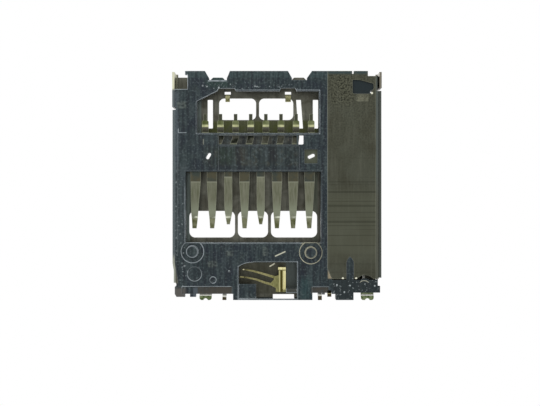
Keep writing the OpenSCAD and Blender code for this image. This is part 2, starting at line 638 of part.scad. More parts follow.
module shell()
    color("#8f9284") {
        difference() {
            union() {
                shell_sweep(front_y + 0.27, ledge_y, 0.25);
                // solder legs of the front corners, down to the board
                difference() {
                    shell_sweep(front_y + 0.07, leg_left_y, 0);
                    block(left_x + shell_t + shell_bend_r, right_x - shell_t - shell_bend_r,
                          front_y, front_y + 0.27, -1, body_h + 1);
                    block(0, right_x + 1, leg_right_y, rear_y, -1, 0.3);
                }
                // tab of the top over the switch
                block(left_x + 4.1, rail_x - 0.58, ledge_y - eps, rear_y - seat_gap, roof_z, body_h);
            }
            // relief slits behind the legs
            block(left_x - 1, left_x + 0.3, leg_left_y, leg_left_y + leg_slit, -1, body_h + 1);
            block(right_x - 0.24, right_x + 1, leg_right_y, leg_right_y + leg_slit, -1, body_h + 1);
            // rear ends of the side walls, and the opening round the side finger
            block(left_x - 1, left_x + shell_t + shell_bend_r, left_end_y, rear_y, -1, body_h + 1);
            block(right_x - shell_t - shell_bend_r, right_x + 1, right_end_y, rear_y, -1, body_h + 1);
            block(left_x - 1, left_x + shell_t + eps, finger_y, left_end_y + eps, -1, finger_top + 0.1);
            translate([0, 0, roof_z - 0.3]) linear_extrude(1) shell_windows();
            // front edge, set back over the two notches with a round dome in each
            translate([0, 0, roof_z - 0.3]) linear_extrude(1) difference() {
                for (x = dome_xs) translate([x - 0.62, front_y - 1]) square([1.24, 1.54]);
                for (x = dome_xs) translate([x, front_y + 0.17 + dome_r]) circle(dome_r, $fn = 64);
            }
            // windows of the side walls, round the housing's latch noses
            for (y = latch_ys)
                block(left_x - 1, left_x + shell_t + eps, y - latch_l / 2 - 0.1, y + latch_l / 2 + 0.1,
                      roof_z - 0.85, roof_z - 0.35);
            // rear edge, open over the switch
            block(tab_slot_x[0], tab_slot_x[1], rear_y - 0.27, rear_y + 1, roof_z - eps, body_h + 1);
        }
        // side finger, sprung inwards behind the moulding's left wall
        translate([0, 0, 0.25]) linear_extrude(finger_top - 0.25)
            polygon(strip([[left_x + shell_t / 2, finger_y - 0.05], [left_x + shell_t / 2, finger_y + 0.35],
                           [finger_in - seat_gap - shell_t / 2, left_end_y - seat_gap]], shell_t));
        // stubs that hang from the front windows' edges
        for (k = [0, 1])
            sheet_yz([[bar_y - 2.73, roof_z + 0.02], [bar_y - 2.6, roof_z], [bar_y - 2.25, roof_z - 0.14]],
                     shell_t, stub_xs[k] - stub_ws[k] / 2, stub_xs[k] + stub_ws[k] / 2);
        // tongue bent down onto the cam pin
        sheet_yz([[tongue_y0 + tongue_l + eps, body_h - shell_t / 2], [tongue_y0 + 2.4, body_h - shell_t / 2],
                  [tongue_y0 + 0.9, tongue_z], [tongue_y0 + 0.4, tongue_z + 0.06]],
                 shell_t, tongue_x - tongue_w / 2, tongue_x + tongue_w / 2);
    }

// Metal floor of the bay with its upturned outer edge
module bay_plate()
    color("#a3a596")
    difference() {
        union() {
            translate([0, plate_y, 0]) rotate([90, 0, 0]) linear_extrude(plate_y - entry_y)
                polygon(strip(concat([[bay_x, plate_t / 2]],
                                     bend([flange_x - plate_bend_r, plate_t + plate_bend_r],
                                          plate_bend_r + plate_t / 2, -90, 0),
                                     [[flange_x + plate_t / 2, flange_h]]), plate_t));
            // front edge, cut to the moulding's outline
            linear_extrude(plate_t) intersection() {
                housing_plan();
                translate([bay_x, front_y]) square([right_x - 0.93 - bay_x, entry_y - front_y + eps]);
            }
        }
        // window over the front stop
        translate([0, 0, -1]) linear_extrude(3)
            polygon([[right_x - 1.97, entry_y + 0.24], [right_x - 1.47, entry_y + 0.27], [right_x - 0.56, entry_y + 0.51],
                     [right_x - 0.53, entry_y + 0.81], [right_x - 0.76, stop_y + 0.02], [right_x - 1.87, stop_y + 0.02],
                     [right_x - 1.97, stop_y - 0.07]]);
        // coined step behind it
        block(right_x - 1.72, right_x - 0.93, stop_y + 0.1, stop_y + 0.5, -eps, 0.06);
        // slot round the moulding's rib, and the arc round the boss of the pin's pivot
        translate([0, 0, -1]) linear_extrude(3) rib_plan(seat_gap);
        translate([boss_x, pivot_y, -1]) cylinder(r = plate_arc_r, h = 3, $fn = 48);
        // bevelled rear corner
        translate([0, 0, -1]) linear_extrude(3)
            polygon([[bay_x - 1, plate_y - 0.72 - seat_gap], [bay_x, plate_y - 0.72 - seat_gap],
                     [bay_x + 0.3 + seat_gap, plate_y], [bay_x + 0.3 + seat_gap, plate_y + 1], [bay_x - 1, plate_y + 1]]);
        // slit of the upturned edge beside the cover's right leg
        block(flange_x - 0.02, right_x, leg_right_y, leg_right_y + leg_slit, -1, 2);
    }

// Outline of the heart-shaped cam groove, cut round its island
module cam_groove() {
    y1 = pin_rest_y + lane_w;
    y0 = pin_rest_y - travel - lane_w;
    island_x0 = pivot_x + lane_w / 2;
    island_x1 = lane_far_x - lane_w / 2;
    difference() {
        rounded(pivot_x - lane_w / 2, lane_far_x + lane_w / 2, y0, y1, 0.12);
        polygon([[island_x0, pin_rest_y - 0.7], [island_x1, pin_rest_y - 0.5], [island_x1, pin_rest_y - 2.75],
                 [(island_x0 + island_x1) / 2, pin_rest_y - 2.45], [island_x0, pin_rest_y - 2.9]]);
    }
}

module slider()
    color("#3a3f45")
    difference() {
        union() {
            block(body_x, slider_x1, slider_y, slider_y1, slider_z, low_top);
            block(body_x, pivot_x - lane_w / 2 - 0.08, slider_y, slider_y1, slider_z, slider_top);
            block(arm_x, body_x + eps, arm_y, slider_y1, slider_z, slider_top);
        }
        translate([0, 0, low_top - groove_d]) linear_extrude(1) cam_groove();
        // pocket for the coil spring, open at the rear
        translate([spring_x, slider_y1 + 1, spring_z]) rotate([90, 0, 0])
            cylinder(r = spring_d / 2 + slide_gap, h = slider_y1 + 1 - spring_y0, $fn = 32);
        // seat for the foot of the card-lock leaf
        block(leaf_x - leaf_t / 2 - seat_gap / 2, leaf_x + leaf_t / 2 + seat_gap / 2,
              arm_y - eps, arm_y + leaf_seat + seat_gap, leaf_z - seat_gap / 2, body_h);
        // relief pocket in the front of the body
        block(body_x + 0.3, pivot_x - 0.45, slider_y + 0.4, arm_y - 0.4, slider_z - eps, slider_z + 0.5);
        // sloped front corner that clears the card's edge
        translate([body_x, slider_y, slider_z - 1]) rotate([0, 0, 45]) cube([0.4, 0.4, 6], center = true);
    }

// Card-lock leaf: a strip on edge whose bend springs into the card's side notch
module lock_leaf()
    color("#b9b38a")
    translate([0, 0, leaf_z]) linear_extrude(slider_top - leaf_z - slide_gap)
        polygon(strip(concat(
            [[leaf_x, arm_y + leaf_seat], [leaf_x, notch_y + 0.75]],
            bend([leaf_x - 0.17, notch_y], 0.2, 145, 215),
            [[leaf_x, notch_y - 0.72]]), leaf_t));

// Point s, b of the spring: b goes round the wire, s along it from 0 to 1
function coil_y0() = spring_y0 + spring_wire_d / 2 + seat_gap;
function coil_y1() = block_y - spring_wire_d / 2 - seat_gap;
function coil_point(s, b) =
    let (a = 360 * spring_turns * s,
         // the end turns lie closer than the middle ones
         along = coil_y0() + (coil_y1() - coil_y0()) * (s - sin(360 * s) / 36),
         q = (spring_d - spring_wire_d) / 2 + spring_wire_d / 2 * cos(b))
    [spring_x + q * cos(a), along + spring_wire_d / 2 * sin(b), spring_z + q * sin(a)];

// Coil spring: its wire is swept along a helix in rings of six points
module slider_spring()
    color("#9fa39b") {
        sides = 6;
        n = spring_turns * 12;
        points = [for (k = [0:n], j = [0:sides - 1]) coil_point(k / n, 360 * j / sides)];
        faces = concat(
            [[for (j = [sides - 1:-1:0]) j]],
            [for (k = [0:n - 1], j = [0:sides - 1]) let (t = (j + 1) % sides)
                for (f = [[k * sides + j, k * sides + t, (k + 1) * sides + j],
                          [(k + 1) * sides + j, k * sides + t, (k + 1) * sides + t]]) f],
            [[for (j = [0:sides - 1]) n * sides + j]]);
        polyhedron(points, faces);
    }

// Cam pin: straight wire with one leg in the block and one tip in the groove
module cam_pin()
    color("#c9c8bd") {
        r = pin_d / 2;
        translate([pivot_x, pivot_y, pin_foot_z]) cylinder(r = r, h = pin_z - pin_foot_z, $fn = 32);
        translate([pivot_x, pivot_y, pin_z]) rotate([90, 0, 0])
            cylinder(r = r, h = pivot_y - pin_rest_y, $fn = 32);
        for (y = [pivot_y, pin_rest_y]) translate([pivot_x, y, pin_z]) sphere(r, $fn = 32);
        translate([pivot_x, pin_rest_y, low_top - groove_d + slide_gap])
            cylinder(r = r, h = pin_z - low_top + groove_d - slide_gap, $fn = 32);
    }

// Forked switch spring: a flat root in the moulding and two arms that rise to the left
module detect_lever()
    color("#b8a565") {
    switch_tail(lever_tail_x, lever_z, rear_y - 0.43, rear_y);
    intersection() {
        sheet_xz([[switch_x0 + 0.05, lever_tip_z - 0.12], [switch_x0 + 0.35, lever_tip_z],
                  [lever_x1 - 0.5, lever_z], [rail_x + 0.3, lever_z]], switch_t, switch_y - 0.2, rear_y);
        translate([0, 0, -1]) linear_extrude(4) {
            // two slender arms, each narrower and flatter towards its tip
            lever_arm([[switch_x0 + 0.26, switch_y + 0.53], [switch_x0 + 0.9, switch_y + 0.62],
                       [switch_x0 + 1.58, switch_y + 0.79], [lever_x1 - 0.38, switch_y + 1.05]]);
            lever_arm([[switch_x0 + 0.07, switch_y + 1.03], [switch_x0 + 0.6, switch_y + 1.09],
                       [switch_x0 + 1.2, switch_y + 1.21], [switch_x0 + 1.72, switch_y + 1.39],
                       [lever_x1 - 0.5, switch_y + 1.56]]);
            // root plate and web to the tail
            polygon([[lever_x1 - 0.72, switch_y + 1.46], [lever_x1 - 0.48, switch_y + 1.2], [lever_x1 - 0.46, switch_y + 0.98],
                     [lever_x1 - 0.15, switch_y + 0.9], [lever_x1 - 0.15, switch_y + 0.57], [blade_x, switch_y + 0.57],
                     [blade_x, web_y], [lever_tail_x + switch_tail_w / 2, web_y],
                     [lever_tail_x + switch_tail_w / 2, web_y + web_w],
                     [lever_x1 - 0.34, web_y + web_w],
                     [lever_x1 - 0.34, switch_y + 1.76], [lever_x1 - 0.58, switch_y + 1.64]]);
        }
    }
    }

// Slender arm along a centre line, 0.08 wide at its tip and 0.16 at its root
module lever_arm(line) {
    n = len(line) - 1;
    polygon(concat(
        [for (k = [0:n]) line[k] + mitre(line, k) * (0.04 + 0.04 * k / n)],
        [for (k = [n:-1:0]) line[k] - mitre(line, k) * (0.04 + 0.04 * k / n)]));
}

// Solder tail of a switch piece: from its web at height z, down the slope at bend_y to the board
module switch_tail(x, z, bend_y, y_end)
    sheet_yz([[web_y, z], [bend_y, z], [bend_y + 0.19, switch_t / 2], [y_end, switch_t / 2]],
             switch_t, x - switch_tail_w / 2, x + switch_tail_w / 2);

// Seats of the three switch pieces in the moulding
module switch_seats() {
    g = seat_gap / 2;
    half = switch_t / 2 + g;
    tail = switch_tail_w / 2 + g;
    block(lever_x1 - 0.4, lever_tail_x + tail, web_y - g, web_y + web_w + g, lever_z - half, lever_z + half);
    block(fixed_tail_x - tail, switch_x0 + 0.5, web_y - g, web_y + web_w + g, fixed_z - half, fixed_z + half);
    block(lever_x1, ground_tail_x + tail, web_y - g, web_y + web_w + g, ground_z - half, ground_z + half);
    // exits of the tails at the rear edge; the last one drops through an open notch
    block(lever_tail_x - tail, lever_tail_x + tail, web_y, rear_y + 1, lever_z - half, lever_z + half);
    block(fixed_tail_x - tail, fixed_tail_x + tail, web_y, rear_y + 1, fixed_z - half, fixed_z + half);
    block(ground_tail_x - tail, ground_tail_x + tail, web_y - g, rear_y + 1, -eps, ground_z + half);
}

// Fixed switch contact at the left: pad under the arms, web, and tail at the rear edge
module detect_terminal()
    color("#b8a565") {
        block(fixed_tail_x - switch_tail_w / 2, switch_x0 + 0.9, web_y, web_y + web_w,
              fixed_z - switch_t / 2, fixed_z + switch_t / 2);
        block(switch_x0 + 0.1, switch_x0 + 0.9, web_y - 0.36, web_y + eps,
              fixed_z - switch_t / 2, fixed_z + switch_t / 2);
        switch_tail(fixed_tail_x, fixed_z, ledge_y + 0.05, rear_y);
    }

// Blade on edge beside the lever, with a web over the lever's web and a tail at the rear
module ground_terminal()
    color("#d8cc94") {
        block(blade_x, blade_x + blade_w, switch_y + 0.54, web_y + web_w, ground_z - switch_t / 2, 1.2);
        block(blade_x, ground_tail_x + switch_tail_w / 2, web_y, web_y + web_w,
              ground_z - switch_t / 2, ground_z + switch_t / 2);
        // cap folded over the blade's front end
        block(lever_x1 - 0.19, blade_x + blade_w, switch_y + 0.36, switch_y + 0.36 + 0.19, 0.34, 1.2);
        switch_tail(ground_tail_x, ground_z, web_y + 0.05, rear_y - 0.22);
    }

// Solder foot of a rear corner: a tongue from the moulding that steps down to two round toes
module foot(x0, x1)
    intersection() {
        sheet_yz([[foot_y, foot_z], [ledge_y + 0.06, foot_z], [ledge_y + 0.17, foot_t / 2], [rear_y + 1, foot_t / 2]],
                 foot_t, x0, x1);
        translate([0, 0, -1]) linear_extrude(3) difference() {
            rounded(x0, x1, foot_y - 0.5, rear_y, 0.16);
            translate([(x0 + x1) / 2, rear_y + 0.03]) circle(0.15, $fn = 32);
        }
    }

module hold_down_left() color("#b7ab78") foot(left_x + 1.84, left_x + 2.66);

module hold_down_right() color("#b7ab78") foot(right_x - 1.4, right_x - 0.54);

housing();
shell();
bay_plate();
for (i = [1:contact_n])
    color("#a9ab94") contact(i - 1);
slider();
slider_spring();
cam_pin();
lock_leaf();
detect_lever();
detect_terminal();
ground_terminal();
hold_down_left();
hold_down_right();
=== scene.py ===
import math
import bmesh
import bpy
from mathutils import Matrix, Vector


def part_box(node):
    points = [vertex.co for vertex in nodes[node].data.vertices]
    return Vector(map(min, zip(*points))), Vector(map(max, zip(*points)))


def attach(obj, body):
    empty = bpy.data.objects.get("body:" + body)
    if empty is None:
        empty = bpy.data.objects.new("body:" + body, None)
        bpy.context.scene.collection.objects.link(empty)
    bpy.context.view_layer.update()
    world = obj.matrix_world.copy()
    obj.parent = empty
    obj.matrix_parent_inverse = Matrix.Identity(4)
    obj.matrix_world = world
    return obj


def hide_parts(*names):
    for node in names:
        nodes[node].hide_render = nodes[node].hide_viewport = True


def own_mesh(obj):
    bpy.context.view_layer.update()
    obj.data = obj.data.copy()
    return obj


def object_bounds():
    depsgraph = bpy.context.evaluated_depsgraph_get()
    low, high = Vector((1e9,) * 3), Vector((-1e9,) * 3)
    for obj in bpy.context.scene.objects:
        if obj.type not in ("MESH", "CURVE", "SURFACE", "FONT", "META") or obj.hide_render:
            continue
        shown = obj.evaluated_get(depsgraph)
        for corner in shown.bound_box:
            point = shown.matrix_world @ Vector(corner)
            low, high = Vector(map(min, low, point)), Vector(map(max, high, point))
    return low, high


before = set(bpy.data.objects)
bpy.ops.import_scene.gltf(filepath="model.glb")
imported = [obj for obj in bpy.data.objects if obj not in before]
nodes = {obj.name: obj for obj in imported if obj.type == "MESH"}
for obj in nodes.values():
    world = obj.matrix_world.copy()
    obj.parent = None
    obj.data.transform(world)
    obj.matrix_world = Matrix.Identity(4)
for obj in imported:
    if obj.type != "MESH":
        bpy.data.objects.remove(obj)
cad_box = [list(corner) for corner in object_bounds()]

# Camera: it looks straight up at the board side, a little off the connector's middle, as the
# photograph does. The frame is 36.4 mm wide at the board plane.
camera_distance = 0.080
off_middle = (-0.00047, 0.00118)
sensor_width = 36
photo_pixels = 540
pixels_per_mm = 14.84
frame_width = photo_pixels / pixels_per_mm / 1000
camera_data = bpy.data.cameras.new("camera")
camera = bpy.data.objects.new("camera", camera_data)
bpy.context.collection.objects.link(camera)
camera.location = (*off_middle, -camera_distance)
camera.rotation_euler = (math.pi, 0, 0)
camera_data.sensor_width = sensor_width
camera_data.lens = sensor_width * camera_distance / frame_width
camera_data.clip_start = 0.001
camera_data.clip_end = 10
bpy.context.scene.camera = camera
bpy.context.scene.view_settings.view_transform = "Standard"

# World: white where the camera or a reflection meets it, and plain grey light for the rest.
world = bpy.data.worlds.new("studio")
bpy.context.scene.world = world
world.use_nodes = True
sky = world.node_tree
sky.nodes.clear()
seen = sky.nodes.new("ShaderNodeBackground")
seen.inputs["Color"].default_value = (1, 1, 1, 1)
light = sky.nodes.new("ShaderNodeBackground")
light.inputs["Color"].default_value = (0.96, 0.98, 1, 1)
light.inputs["Strength"].default_value = 0.75
ray = sky.nodes.new("ShaderNodeLightPath")
white_for = ray.outputs["Is Camera Ray"]
for kind in ("Is Glossy Ray", "Is Transmission Ray"):
    larger = sky.nodes.new("ShaderNodeMath")
    larger.operation = "MAXIMUM"
    sky.links.new(white_for, larger.inputs[0])
    sky.links.new(ray.outputs[kind], larger.inputs[1])
    white_for = larger.outputs[0]
blend_sky = sky.nodes.new("ShaderNodeMixShader")
sky.links.new(white_for, blend_sky.inputs["Fac"])
sky.links.new(light.outputs[0], blend_sky.inputs[1])
sky.links.new(seen.outputs[0], blend_sky.inputs[2])
sky_out = sky.nodes.new("ShaderNodeOutputWorld")
sky.links.new(blend_sky.outputs[0], sky_out.inputs["Surface"])

# Lamps: one broad soft panel above and one below, each off to a side so that edges and sheet
# metal catch a gradient, and a small one from the front for the card's mouth.
connector_middle = (0, 0, 0.0009)


def soft_panel(name, place, size, power):
    data = bpy.data.lights.new(name, "AREA")
    data.shape = "SQUARE"
    data.size = size
    data.energy = power
    panel = bpy.data.objects.new(name, data)
    bpy.context.collection.objects.link(panel)
    panel.location = place
    aim = [t - p for t, p in zip(connector_middle, place)]
    flat = math.hypot(aim[0], aim[1])
    panel.rotation_euler = (math.atan2(flat, -aim[2]), 0, math.atan2(aim[0], -aim[1]) + math.pi)


soft_panel("panel_above", (-0.05, -0.04, 0.10), 0.08, 0.035)
soft_panel("panel_below", (-0.06, -0.05, -0.09), 0.07, 0.03)
soft_panel("panel_front", (0.03, -0.12, 0.03), 0.05, 0.02)

# Floor: a pale board that stops at the pegs' tips. It shows from above only, so that the view
# from below stays open, and it lets the light from below through.
floor_z = cad_box[0][2]
floor_size = 2.0
floor_mesh = bpy.data.meshes.new("floor")
shape = bmesh.new()
bmesh.ops.create_grid(shape, x_segments=1, y_segments=1, size=floor_size / 2)
bmesh.ops.translate(shape, verts=shape.verts, vec=(0, 0, floor_z))
shape.to_mesh(floor_mesh)
shape.free()
floor = bpy.data.objects.new("floor", floor_mesh)
bpy.context.collection.objects.link(floor)
floor_paint = bpy.data.materials.new("floor_paint")
floor_paint.use_nodes = True
tree = floor_paint.node_tree
tree.nodes.clear()
board = tree.nodes.new("ShaderNodeBsdfDiffuse")
board.inputs["Color"].default_value = (0.86, 0.86, 0.855, 1)
clear = tree.nodes.new("ShaderNodeBsdfTransparent")
face = tree.nodes.new("ShaderNodeNewGeometry")
either_side = tree.nodes.new("ShaderNodeMixShader")
tree.links.new(face.outputs["Backfacing"], either_side.inputs["Fac"])
tree.links.new(board.outputs[0], either_side.inputs[1])
tree.links.new(clear.outputs[0], either_side.inputs[2])
paint_out = tree.nodes.new("ShaderNodeOutputMaterial")
tree.links.new(either_side.outputs[0], paint_out.inputs["Surface"])
floor_mesh.materials.append(floor_paint)
floor.visible_diffuse = False
floor.visible_glossy = False
floor.visible_transmission = False
floor.visible_shadow = False


# Housing: one moulding of glass-filled polymer, near black with a blue-green cast. Its faces are
# mottled and streaked by the flow of the melt, and the edges of its windows and rings carry a
# thin pale line, a painted highlight. Places are in millimetres of the plan, like those of the other
# pieces.
def tone(red, green, blue):
    """A linear colour from the 0-255 values that a screen shows."""
    values = [v / 255 for v in (red, green, blue)]
    return tuple(v / 12.92 if v < 0.0405 else ((v + 0.055) / 1.055) ** 2.4 for v in values)


class Finish:
    """A material built node by node, with its pattern on Object coordinates in metres.

    face is its colour so far, on which coats are laid.
    """

    def __init__(self, name, color, roughness, metallic=0.0, specular=0.5):
        self.material = bpy.data.materials.new(name)
        self.material.use_nodes = True
        self.tree = self.material.node_tree
        self.shader = self.tree.nodes["Principled BSDF"]
        self.shader.inputs["Base Color"].default_value = (*color, 1)
        self.shader.inputs["Roughness"].default_value = roughness
        self.shader.inputs["Metallic"].default_value = metallic
        self.shader.inputs["Specular IOR Level"].default_value = specular
        self.place = self.tree.nodes.new("ShaderNodeTexCoord").outputs["Object"]
        self.normal = self.tree.nodes.new("ShaderNodeNewGeometry").outputs["True Normal"]
        self.x, self.y, self.z = self.split(self.place)
        self.nx, self.ny, self.nz = self.split(self.normal)
        self.face = None

    def link(self, source, socket):
        self.tree.links.new(source, socket)

    def split(self, vector):
        node = self.tree.nodes.new("ShaderNodeSeparateXYZ")
        self.link(vector, node.inputs[0])
        return node.outputs

    def math(self, operation, a, b=0.0):
        node = self.tree.nodes.new("ShaderNodeMath")
        node.operation = operation
        for socket, value in zip(node.inputs, (a, b)):
            if isinstance(value, (int, float)):
                socket.default_value = value
            else:
                self.link(value, socket)
        return node.outputs[0]

    def dot(self, a, b):
        node = self.tree.nodes.new("ShaderNodeVectorMath")
        node.operation = "DOT_PRODUCT"
        self.link(a, node.inputs[0])
        self.link(b, node.inputs[1])
        return node.outputs["Value"]

    def noise(self, grain, detail=3.0, stretch=(1, 1, 1), distortion=0.0):
        """Noise whose grains are about grain metres across, divided by stretch on each axis."""
        scaled = self.tree.nodes.new("ShaderNodeMapping")
        scaled.inputs["Scale"].default_value = [k / grain for k in stretch]
        self.link(self.place, scaled.inputs["Vector"])
        node = self.tree.nodes.new("ShaderNodeTexNoise")
        node.inputs["Scale"].default_value = 1.0
        node.inputs["Detail"].default_value = detail
        node.inputs["Distortion"].default_value = distortion
        self.link(scaled.outputs[0], node.inputs["Vector"])
        return node.outputs["Fac"]

    def steps(self, value, *stops):
        """A colour ramp: stops are (place, colour)."""
        node = self.tree.nodes.new("ShaderNodeValToRGB")
        ramp = node.color_ramp
        for n, (place, color) in enumerate(stops):
            stop = ramp.elements[n] if n < 2 else ramp.elements.new(place)
            stop.position = place
            stop.color = (*color, 1)
        self.link(value, node.inputs["Fac"])
        return node.outputs["Color"]

    def span(self, value, low, high, out_low=0.0, out_high=1.0):
        """value from low..high to out_low..out_high, held at the ends."""
        node = self.tree.nodes.new("ShaderNodeMapRange")
        self.link(value, node.inputs["Value"])
        names = ("From Min", "From Max", "To Min", "To Max")
        for name, number in zip(names, (low, high, out_low, out_high)):
            node.inputs[name].default_value = number
        return node.outputs["Result"]

    def mix(self, factor, a, b):
        node = self.tree.nodes.new("ShaderNodeMix")
        node.data_type = "RGBA"
        self.link(factor, node.inputs["Factor"])
        for socket, value in ((node.inputs[6], a), (node.inputs[7], b)):
            if isinstance(value, tuple):
                socket.default_value = (*value, 1)
            else:
                self.link(value, socket)
        return node.outputs[2]

    def faint(self, mask, share):
        """A mask brought down to a share of its strength."""
        return self.math("MULTIPLY", mask, share)

    def coat(self, mask, color, share=1.0):
        """Lay a colour over the face where the mask is 1, or only a share of it."""
        if share < 1:
            mask = self.faint(mask, share)
        self.face = self.mix(mask, self.face, color)

    def both(self, *masks):
        """1 where every mask is 1."""
        total = masks[0]
        for mask in masks[1:]:
            total = self.math("MULTIPLY", total, mask)
        return total

    def either(self, *masks):
        """The strongest of the masks, each of which may also be a plain number."""
        total = masks[0]
        for mask in masks[1:]:
            total = self.math("MAXIMUM", total, mask)
        return total

    def band(self, value, low, high, soft=0.04):
        """1 where value lies between low and high, all in millimetres, with soft borders."""
        return self.both(self.span(value, (low - soft / 2) / 1000, (low + soft / 2) / 1000),
                         self.span(value, (high - soft / 2) / 1000, (high + soft / 2) / 1000, 1, 0))

    def patch(self, x0, x1, y0, y1, soft=0.1):
        """1 in a rectangle of the plan, in millimetres."""
        return self.both(self.band(self.x, x0, x1, soft), self.band(self.y, y0, y1, soft))

    def away(self, x, y):
        """Distance in the plan from a point given in millimetres."""
        dx = self.math("SUBTRACT", self.x, x / 1000)
        dy = self.math("SUBTRACT", self.y, y / 1000)
        squares = self.math("MULTIPLY", dx, dx), self.math("MULTIPLY", dy, dy)
        return self.math("SQRT", self.math("ADD", *squares))

    def spot(self, x, y, radius, soft=0.04):
        """1 in a disc of the plan, in millimetres."""
        return self.span(self.away(x, y), (radius - soft / 2) / 1000, (radius + soft / 2) / 1000, 1, 0)

    def stroke(self, x0, y0, x1, y1, width):
        """1 along a straight line of the plan, in millimetres."""
        half = math.hypot(x1 - x0, y1 - y0) / 2
        run = (x1 - x0) / half / 2
        rise = (y1 - y0) / half / 2
        dx = self.math("SUBTRACT", self.x, (x0 + x1) / 2000)
        dy = self.math("SUBTRACT", self.y, (y0 + y1) / 2000)
        along = self.math("ADD", self.math("MULTIPLY", dx, run), self.math("MULTIPLY", dy, rise))
        across = self.math("SUBTRACT", self.math("MULTIPLY", dy, run), self.math("MULTIPLY", dx, rise))
        return self.both(self.band(along, -half, half),
                         self.band(across, -width / 2, width / 2, width / 2))

    def edges(self, radius, low=0.004, high=0.06):
        """1 along sharp edges and 0 on open faces, from a rounded normal."""
        node = self.tree.nodes.new("ShaderNodeBevel")
        node.samples = 8
        node.inputs["Radius"].default_value = radius / 1000
        agree = self.dot(node.outputs[0], self.normal)
        return self.span(self.math("SUBTRACT", 1.0, agree), low, high)

    def relief(self, height, distance, strength=1.0):
        node = self.tree.nodes.new("ShaderNodeBump")
        node.inputs["Distance"].default_value = distance / 1000
        node.inputs["Strength"].default_value = strength
        self.link(height, node.inputs["Height"])
        self.link(node.outputs[0], self.shader.inputs["Normal"])

    def color(self, source):
        self.link(source, self.shader.inputs["Base Color"])

    def roughness(self, source):
        self.link(source, self.shader.inputs["Roughness"])

    def metal(self, source):
        self.link(source, self.shader.inputs["Metallic"])

    def on(self, *names):
        for name in names:
            for slot in nodes[name].material_slots:
                slot.material = self.material


def grown(area, left, right, front, rear):
    """An area of the plan, (x0, x1, y0, y1), with a margin added on each side."""
    return area[0] - left, area[1] + right, area[2] - front, area[3] + rear


left_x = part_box("shell")[0][0] * 1000
right_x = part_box("shell")[1][0] * 1000
front_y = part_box("housing")[0][1] * 1000
rear_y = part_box("housing")[1][1] * 1000
bay_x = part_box("bay_plate")[0][0] * 1000
plate_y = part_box("bay_plate")[1][1] * 1000
peg_left = (-5.70, 4.45)
peg_right = (2.28, 4.52)
large_ring = (-5.56, 5.96)
small_ring = (-4.31, 6.37)
pin_pivot = (5.88, 6.77)
ring_zone = 0.9
upper_window = (-5.37, 2.85, -6.46, -3.57)
lower_window = (-6.15, 2.80, -0.90, 3.83)
switch_window = (-2.57, 1.37, 5.20, rear_y)
web_slot = (-4.0, 1.3, -3.42, -2.75)
blade_right = 0.62
peg_wall_z = -0.00031

plastic = Finish("housing_black", tone(40, 50, 56), 0.46, specular=0.3)
flow = plastic.noise(0.0013, 4, distortion=1.6)
cloud = plastic.noise(0.0028, 2, distortion=0.8)
speck = plastic.noise(0.00014, 2)
streak = plastic.noise(0.00016, 3, stretch=(1, 0.07, 1))
down = plastic.span(plastic.nz, -0.6, -0.9)
along_flow = plastic.span(plastic.math("ABSOLUTE", plastic.ny), 0.4, 0.9, 1, 0.3)
plastic.face = plastic.steps(flow, (0.33, tone(10, 24, 38)), (0.5, tone(25, 39, 45)),
                             (0.68, tone(45, 57, 58)))
plastic.coat(plastic.span(cloud, 0.42, 0.6, 0, 0.55), tone(18, 38, 39))
front_edge = plastic.patch(left_x, bay_x, front_y - 1, front_y + 0.45)
plastic.coat(front_edge, tone(44, 62, 63))
left_edge = plastic.patch(left_x, left_x + 0.44, -6.3, -0.8)
plastic.coat(left_edge, tone(66, 76, 82))
beside_window = plastic.patch(left_x, lower_window[0], -1.4, lower_window[3], 0.4)
plastic.coat(beside_window, tone(62, 72, 74), 0.6)

# stains: the webs' slot and the panel behind it are browner, with green and dark patches, and
# the moulding's worn marks are paler
stain = plastic.noise(0.00055, 3, distortion=0.8)
slot_stain = plastic.steps(stain, (0.36, tone(20, 26, 22)), (0.5, tone(58, 60, 52)),
                           (0.64, tone(80, 79, 68)))
panel_stain = plastic.steps(stain, (0.34, tone(12, 25, 28)), (0.52, tone(29, 41, 39)),
                            (0.68, tone(52, 54, 46)))
plastic.coat(plastic.patch(*web_slot), slot_stain)
panel = plastic.patch(web_slot[0] - 0.9, web_slot[1] + 0.2, -2.65, -1.2, 0.4)
plastic.coat(panel, panel_stain)
green_stain = plastic.patch(-3.98, -2.83, -2.63, -1.5, 0.4)
plastic.coat(green_stain, tone(26, 42, 32))
brown_stain = plastic.patch(-2.66, -2.14, -2.6, -1.45, 0.5)
plastic.coat(brown_stain, tone(62, 59, 46), 0.75)
dark_stain = plastic.patch(-0.56, -0.03, -2.5, -1.6, 0.4)
plastic.coat(dark_stain, tone(12, 17, 20))
worn_marks = [plastic.patch(*area) for area in ((-4.65, -4.04, 5.09, 5.49), (-3.44, -2.96, 4.41, 4.75),
                                                (-0.96, -0.72, 4.14, 4.75), (-0.66, -0.6, 4.14, 4.75),
                                                (-6.74, -6.13, -5.65, -5.20))]
plastic.coat(plastic.both(plastic.either(*worn_marks), plastic.span(speck, 0.3, 0.6)), tone(84, 92, 86))
rear_stain = plastic.patch(1.5, 2.35, 6.2, rear_y, 0.6)
plastic.coat(rear_stain, tone(30, 66, 66), 0.55)
rail = plastic.either(plastic.patch(2.9, bay_x, -6.3, 5.0, 0.2),
                      plastic.patch(-5.2, 1.6, -1.35, -1.05, 0.15))
plastic.coat(rail, tone(12, 26, 34), 0.45)
front_stain = plastic.patch(-4.8, -3.2, -7.1, -6.6, 0.3)
plastic.coat(front_stain, tone(24, 56, 46), 0.5)

